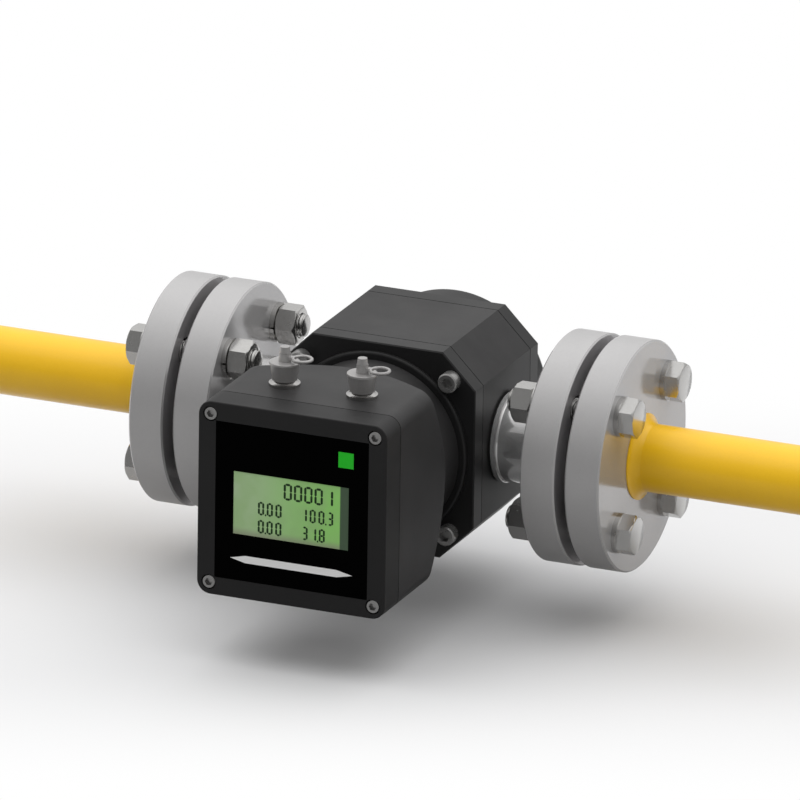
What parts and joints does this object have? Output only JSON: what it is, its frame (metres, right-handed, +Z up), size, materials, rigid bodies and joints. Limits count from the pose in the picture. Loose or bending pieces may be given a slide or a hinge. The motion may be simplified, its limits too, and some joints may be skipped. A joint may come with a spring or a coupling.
{
  "type": "rotary gas meter",
  "caption": "Gas meter with two lobed rotors between bolted pipe flanges, and a square swivelling totalizer head with a display.",
  "frame": {"origin": "centre of the inlet pipe's open end", "axes": "+X along the gas flow, +Z up, the display faces -Y; the rotors turn about Y"},
  "size_m": [0.47, 0.2107, 0.1267],
  "materials": {
    "black_paint": "semi-gloss black paint",
    "flange_paint": "light grey gloss paint",
    "dark_casting": "dark grey powder coat",
    "bezel_paint": "fine-textured black paint",
    "yellow_paint": "gloss yellow paint",
    "zinc_steel": "bright zinc plating",
    "polished_steel": "polished turned steel",
    "bearing_steel": "ground steel",
    "rotor_aluminium": "machined aluminium",
    "seal_rubber": "matte rubber",
    "grey_fibre": "compressed fibre gasket",
    "panel_plastic": "printed gloss panel",
    "display_glass": "green backlit display",
    "board_plastic": "solder-masked circuit board",
    "black_plastic": "moulded plastic",
    "sensor_brass": "turned brass",
    "battery_sleeve": "shrink sleeve",
    "plated_socket": "nickel plating",
    "cap_metal": "matte cast metal cap"
  },
  "bodies": {
    "meter": {"inlet_pipe": "yellow_paint", "outlet_pipe": "yellow_paint", "front_end_plate": "black_paint", "rear_end_plate": "black_paint", "rear_cover": "black_paint", "front_boss": "black_paint", "inlet_pipe_flange": "flange_paint", "outlet_pipe_flange": "flange_paint", "inlet_meter_flange": "flange_paint", "outlet_meter_flange": "flange_paint", "meter_casing": "dark_casting", "flange_gaskets": "grey_fibre", "flange_bolts": "zinc_steel", "flange_nuts": "zinc_steel", "flange_washers": "zinc_steel", "front_plate_screws": "zinc_steel", "rear_plate_screws": "zinc_steel", "rear_cover_screws": "zinc_steel", "retainer_screws": "zinc_steel", "front_boss_screws": "zinc_steel", "bearing_retainers": "zinc_steel", "inlet_neck": "polished_steel", "outlet_neck": "polished_steel", "bearing_outer_rings": "bearing_steel", "bearing_balls": "bearing_steel", "neck_seals": "seal_rubber", "casing_gaskets": "seal_rubber", "rear_cover_gasket": "seal_rubber", "pulse_sensor": "sensor_brass"},
    "upper_rotor_set": {"upper_rotor": "rotor_aluminium", "upper_shaft": "polished_steel", "upper_bearing_inner_rings": "bearing_steel", "upper_timing_gear": "bearing_steel", "upper_gear_nut": "zinc_steel", "magnet_disc": "black_plastic"},
    "lower_rotor_set": {"lower_rotor": "rotor_aluminium", "lower_shaft": "polished_steel", "lower_bearing_inner_rings": "bearing_steel", "lower_timing_gear": "bearing_steel", "lower_gear_nut": "zinc_steel"},
    "head": {"totalizer_housing": "dark_casting", "bezel_gasket": "seal_rubber", "front_bezel": "bezel_paint", "bezel_screws": "zinc_steel", "display_panel": "panel_plastic", "lcd_glass": "display_glass", "lcd_board": "board_plastic", "main_board": "board_plastic", "board_standoffs": "zinc_steel", "battery": "battery_sleeve", "battery_clip": "zinc_steel", "cable_sockets": "plated_socket", "socket_inserts": "black_plastic", "socket_nuts": "plated_socket", "head_lock_screw": "zinc_steel"},
    "left_cap": {"left_dust_cap": "cap_metal"},
    "right_cap": {"right_dust_cap": "cap_metal"},
    "left_eyelet": {"left_cap_eyelet": "cap_metal"},
    "right_eyelet": {"right_cap_eyelet": "cap_metal"}
  },
  "joints": [
    {"name": "upper_rotor_spin", "type": "hinge", "parent": "meter", "child": "upper_rotor_set", "pos_m": [0.235, 0, 0.018], "axis": [0, 1, 0], "continuous": true},
    {"name": "lower_rotor_spin", "type": "hinge", "parent": "meter", "child": "lower_rotor_set", "pos_m": [0.235, 0, -0.018], "axis": [0, 1, 0], "continuous": true},
    {"name": "head_swivel", "type": "hinge", "parent": "meter", "child": "head", "pos_m": [0.235, 0, 0], "axis": [0, 1, 0], "range_deg": [-90, 90]},
    {"name": "left_cap_lift", "type": "slide", "parent": "head", "child": "left_cap", "axis": [0, 0, 1], "range_m": [0, 0.016]},
    {"name": "right_cap_lift", "type": "slide", "parent": "head", "child": "right_cap", "axis": [0, 0, 1], "range_m": [0, 0.016]},
    {"name": "left_eyelet_turn", "type": "hinge", "parent": "left_cap", "child": "left_eyelet", "pos_m": [0.2146, -0.1077, 0.0495], "axis": [0, 0, 1], "continuous": true},
    {"name": "right_eyelet_turn", "type": "hinge", "parent": "right_cap", "child": "right_eyelet", "pos_m": [0.2554, -0.1077, 0.0495], "axis": [0, 0, 1], "continuous": true}
  ],
  "couplings": [
    {"joint": "lower_rotor_spin", "follows": "upper_rotor_spin", "ratio": -1}
  ]
}
